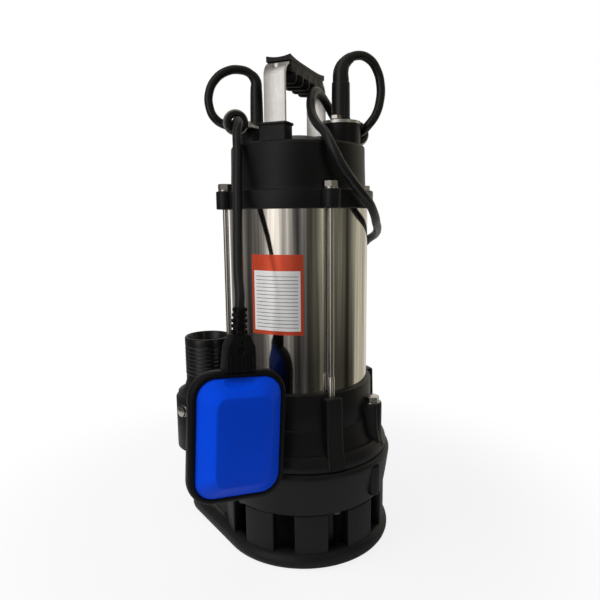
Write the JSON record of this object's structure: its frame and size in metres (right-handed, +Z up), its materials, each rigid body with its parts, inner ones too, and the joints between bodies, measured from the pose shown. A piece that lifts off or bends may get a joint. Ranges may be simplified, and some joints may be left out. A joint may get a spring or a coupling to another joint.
{
  "type": "submersible sewage pump with float switch",
  "caption": "Upright submersible pump: steel motor barrel on a black casing with a strainer foot, side hose outlet, carrying handle and a blue float switch that hangs on its cable.",
  "frame": {"origin": "on the motor axis, at the floor under the foot", "axes": "+Z up along the motor axis, -X towards the outlet, +Y away from the float"},
  "size_m": [0.275, 0.3907, 0.4559],
  "materials": {
    "black_moulding": "satin black glass-filled moulding",
    "grip": "matt black moulding",
    "polished_steel": "polished stainless steel",
    "strap_steel": "bright stainless strip",
    "fastener_steel": "stainless fasteners",
    "bearing_steel": "ground steel",
    "seal_rubber": "black rubber",
    "cable_rubber": "black rubber cable sheath",
    "tie_plastic": "black nylon",
    "plug_brass": "bright brass",
    "bracket_aluminium": "die-cast aluminium",
    "core_iron": "dull iron",
    "copper_wire": "enamelled copper wire",
    "pale_plastic": "off-white moulding",
    "switch_plastic": "dark moulding",
    "float_blue": "bright blue glossy shell",
    "float_black": "black overmoulded rim"
  },
  "bodies": {
    "pump": {"foot_plate": "black_moulding", "strainer_screws": "fastener_steel", "suction_cover": "black_moulding", "cover_screws": "fastener_steel", "volute_casing": "black_moulding", "casing_gasket": "seal_rubber", "casing_bolts": "fastener_steel", "hose_tail": "black_moulding", "hose_tail_seal": "seal_rubber", "outlet_lock_screw": "fastener_steel", "oil_housing": "black_moulding", "seal_seat": "bearing_steel", "shaft_lip_seal": "seal_rubber", "bearing_bracket": "bracket_aluminium", "upper_bracket": "bracket_aluminium", "bearing_outer_rings": "bearing_steel", "bearing_balls": "bearing_steel", "barrel_gaskets": "seal_rubber", "motor_barrel": "polished_steel", "stator_core": "core_iron", "stator_windings": "copper_wire", "run_capacitor": "pale_plastic", "terminal_block": "pale_plastic", "lead_wires": "copper_wire", "motor_head": "black_moulding", "tie_rods": "fastener_steel", "tie_rod_washers": "fastener_steel", "tie_rod_nuts": "fastener_steel", "handle_strap": "strap_steel", "handle_grip": "grip", "power_gland_plate": "strap_steel", "float_gland_plate": "strap_steel", "gland_screws": "fastener_steel", "power_cable_sleeve": "seal_rubber", "float_cable_sleeve": "seal_rubber", "power_cable_grommet": "seal_rubber", "float_cable_grommet": "seal_rubber", "power_cable": "cable_rubber", "power_cable_coil": "cable_rubber", "coil_tie": "tie_plastic", "plug_lead": "cable_rubber", "power_plug": "cable_rubber", "plug_pins": "plug_brass", "float_cable_loop": "cable_rubber"},
    "rotor": {"motor_shaft": "bearing_steel", "rotor_core": "core_iron", "bearing_inner_rings": "bearing_steel", "seal_head": "bearing_steel", "impeller": "core_iron", "impeller_key": "fastener_steel", "impeller_nut": "fastener_steel"},
    "float": {"float_cable_drop": "cable_rubber", "float_front_shell": "float_blue", "float_back_shell": "float_blue", "float_rim": "float_black", "float_boot": "seal_rubber", "microswitch": "switch_plastic", "ball_cage": "pale_plastic"},
    "ball": {"switch_ball": "bearing_steel"}
  },
  "joints": [
    {"name": "rotor_spin", "type": "hinge", "parent": "pump", "child": "rotor", "pos_m": [0, 0, 0.1], "axis": [0, 0, 1], "continuous": true},
    {"name": "float_swing", "type": "hinge", "parent": "pump", "child": "float", "pos_m": [-0.04164, -0.03858, 0.39505], "axis": [-1, 0, 0], "range_deg": [0, 100]},
    {"name": "switch_ball_slide", "type": "slide", "parent": "float", "child": "ball", "axis": [0.01, 0.0866, 0.9962], "range_m": [0, 0.02]}
  ]
}
